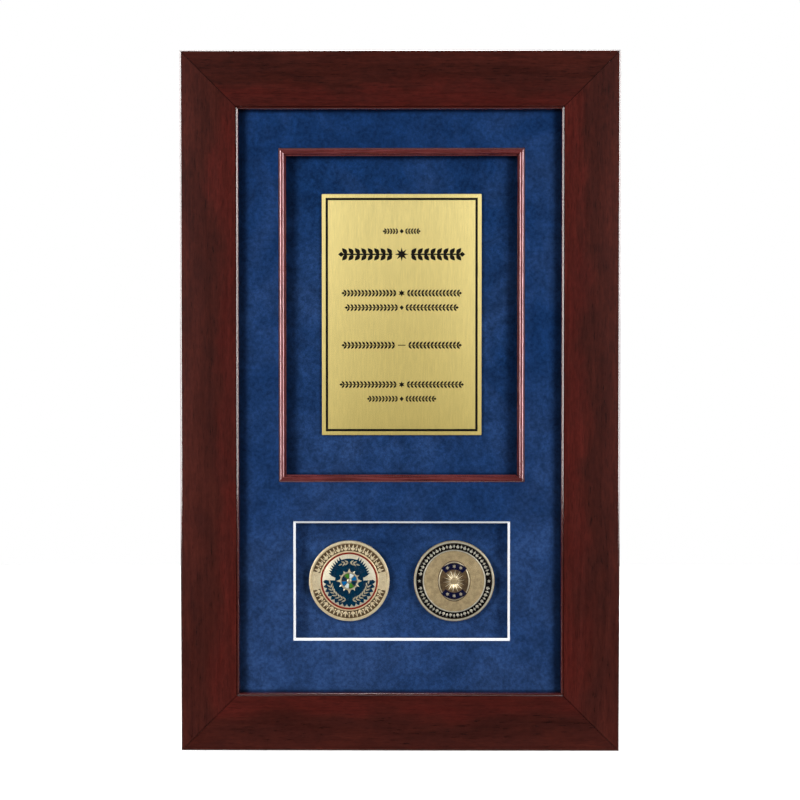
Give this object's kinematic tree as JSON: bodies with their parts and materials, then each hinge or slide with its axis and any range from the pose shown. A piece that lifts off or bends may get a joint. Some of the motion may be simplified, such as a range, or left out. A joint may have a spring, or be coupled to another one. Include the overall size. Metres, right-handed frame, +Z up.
{
  "type": "coin display frame",
  "caption": "Glazed shadow-box wall frame with mitred wood rails, a windowed suede mat, a filleted window over an engraved plate, and a bevelled window over mounted coins.",
  "frame": {"origin": "midway between the two hanging rings, on the axis that runs through both rings' straight bars' depth", "axes": "+Z up as the frame hangs, +X to the viewer's right, -Y is the way the glass faces, +Y goes back to the wall"},
  "size_m": [0.2734, 0.0288, 0.436],
  "materials": {
    "mahogany": "satin",
    "fillet_wood": "gloss",
    "blue_suede": "matte",
    "foam_board": "matte",
    "hardboard": "matte",
    "brass_plate": "satin",
    "gold_coin": "satin",
    "antique_coin": "satin",
    "adhesive_tape": "matte",
    "zinc_steel": "satin",
    "black_rubber": "matte",
    "clear_glass": "gloss"
  },
  "bodies": {
    "frame": {"rail_bottom": "mahogany", "rail_right": "mahogany", "rail_top": "mahogany", "rail_left": "mahogany", "v_nail_top_left_outer": "zinc_steel", "v_nail_top_left_inner": "zinc_steel", "v_nail_top_right_outer": "zinc_steel", "v_nail_top_right_inner": "zinc_steel", "v_nail_bottom_right_outer": "zinc_steel", "v_nail_bottom_right_inner": "zinc_steel", "v_nail_bottom_left_outer": "zinc_steel", "v_nail_bottom_left_inner": "zinc_steel", "glazing": "clear_glass", "window_mat": "blue_suede", "fillet_bottom": "fillet_wood", "fillet_right": "fillet_wood", "fillet_top": "fillet_wood", "fillet_left": "fillet_wood", "spacer_left": "foam_board", "spacer_right": "foam_board", "spacer_top": "foam_board", "spacer_middle": "foam_board", "spacer_bottom": "foam_board", "mount_board": "blue_suede", "foam_backing": "foam_board", "backing_board": "hardboard", "engraved_plate": "brass_plate", "plate_tape": "adhesive_tape", "coin_left": "gold_coin", "coin_right": "antique_coin", "coin_pad_left": "adhesive_tape", "coin_pad_right": "adhesive_tape", "turn_button_screw_top": "zinc_steel", "turn_button_screw_upper_right": "zinc_steel", "turn_button_screw_lower_right": "zinc_steel", "turn_button_screw_bottom": "zinc_steel", "turn_button_screw_lower_left": "zinc_steel", "turn_button_screw_upper_left": "zinc_steel", "hanger_screw_left": "zinc_steel", "hanger_screw_right": "zinc_steel", "hanger_strap_left": "zinc_steel", "bumper_left": "black_rubber", "hanger_strap_right": "zinc_steel", "bumper_right": "black_rubber"},
    "button_top": {"turn_button_top": "zinc_steel"},
    "button_upper_right": {"turn_button_upper_right": "zinc_steel"},
    "button_lower_right": {"turn_button_lower_right": "zinc_steel"},
    "button_bottom": {"turn_button_bottom": "zinc_steel"},
    "button_lower_left": {"turn_button_lower_left": "zinc_steel"},
    "button_upper_left": {"turn_button_upper_left": "zinc_steel"},
    "ring_left": {"hanging_ring_left": "zinc_steel"},
    "ring_right": {"hanging_ring_right": "zinc_steel"}
  },
  "joints": [
    {"name": "top_button_turn", "type": "hinge", "parent": "frame", "child": "button_top", "pos_m": [0, -0.00175, 0.087], "axis": [0, 1, 0], "continuous": true},
    {"name": "upper_right_button_turn", "type": "hinge", "parent": "frame", "child": "button_upper_right", "pos_m": [0.11475, -0.00175, -0.034], "axis": [0, 1, 0], "continuous": true},
    {"name": "lower_right_button_turn", "type": "hinge", "parent": "frame", "child": "button_lower_right", "pos_m": [0.11475, -0.00175, -0.184], "axis": [0, 1, 0], "continuous": true},
    {"name": "bottom_button_turn", "type": "hinge", "parent": "frame", "child": "button_bottom", "pos_m": [0, -0.00175, -0.305], "axis": [0, 1, 0], "continuous": true},
    {"name": "lower_left_button_turn", "type": "hinge", "parent": "frame", "child": "button_lower_left", "pos_m": [-0.11475, -0.00175, -0.184], "axis": [0, 1, 0], "continuous": true},
    {"name": "upper_left_button_turn", "type": "hinge", "parent": "frame", "child": "button_upper_left", "pos_m": [-0.11475, -0.00175, -0.034], "axis": [0, 1, 0], "continuous": true},
    {"name": "left_ring_swing", "type": "hinge", "parent": "frame", "child": "ring_left", "pos_m": [-0.11425, 0, 0], "axis": [0, 0, 1], "range_deg": [0, 165]},
    {"name": "right_ring_swing", "type": "hinge", "parent": "frame", "child": "ring_right", "pos_m": [0.11425, 0, 0], "axis": [0, 0, -1], "range_deg": [0, 165]}
  ]
}
